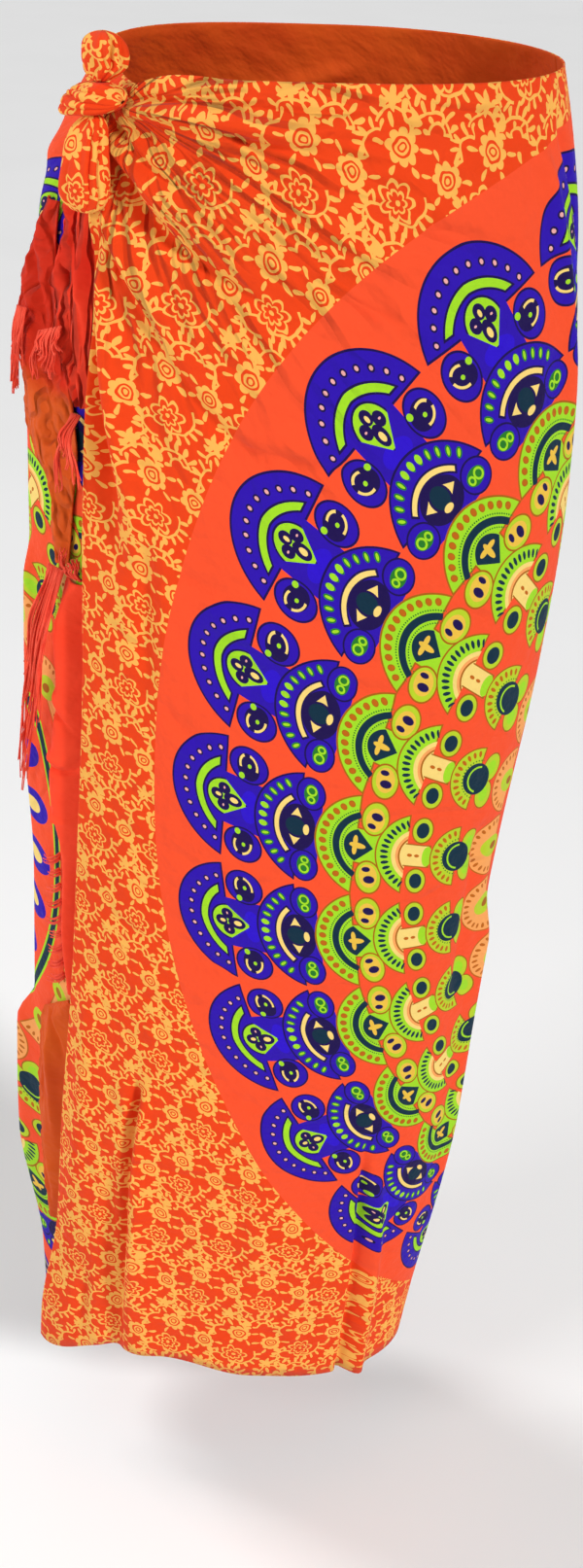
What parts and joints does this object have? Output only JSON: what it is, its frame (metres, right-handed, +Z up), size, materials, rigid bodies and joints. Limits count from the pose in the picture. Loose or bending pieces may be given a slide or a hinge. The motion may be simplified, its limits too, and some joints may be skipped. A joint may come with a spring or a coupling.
{
  "type": "sarong",
  "caption": "Printed wrap skirt wound round the hips and tied in a knot at one side, with fringed ends hanging below the knot.",
  "frame": {"origin": "middle of the waist opening, where the wearer holds the cloth", "axes": "+Z up, -Y the front, +X the side away from the knot"},
  "size_m": [0.3842, 0.2454, 1.0341],
  "materials": {
    "printed_cloth": "light rayon, printed in golden yellow, blue, lime and cream on orange-red, faint sheen",
    "plain_band": "plain bright red rayon, faint sheen",
    "plain_band_reverse": "reverse of the plain band, duller orange-brown",
    "fringe_yarn": "soft twisted rayon yarn, pinkish red"
  },
  "bodies": {
    "root": {"wrap_front": "printed_cloth", "wrap_back": "printed_cloth", "knot": "printed_cloth", "knot_ear": "printed_cloth", "knot_tail": "printed_cloth", "front_end_pleats": "plain_band", "front_end_roll": "plain_band", "back_end_fold": "plain_band_reverse", "back_end_hem": "plain_band_reverse", "fringe_front_curls": "fringe_yarn", "fringe_front_tassel": "fringe_yarn", "fringe_back_curls": "fringe_yarn", "fringe_back_tassels": "fringe_yarn", "fringe_roll_top": "fringe_yarn", "fringe_side": "fringe_yarn"}
  },
  "joints": []
}
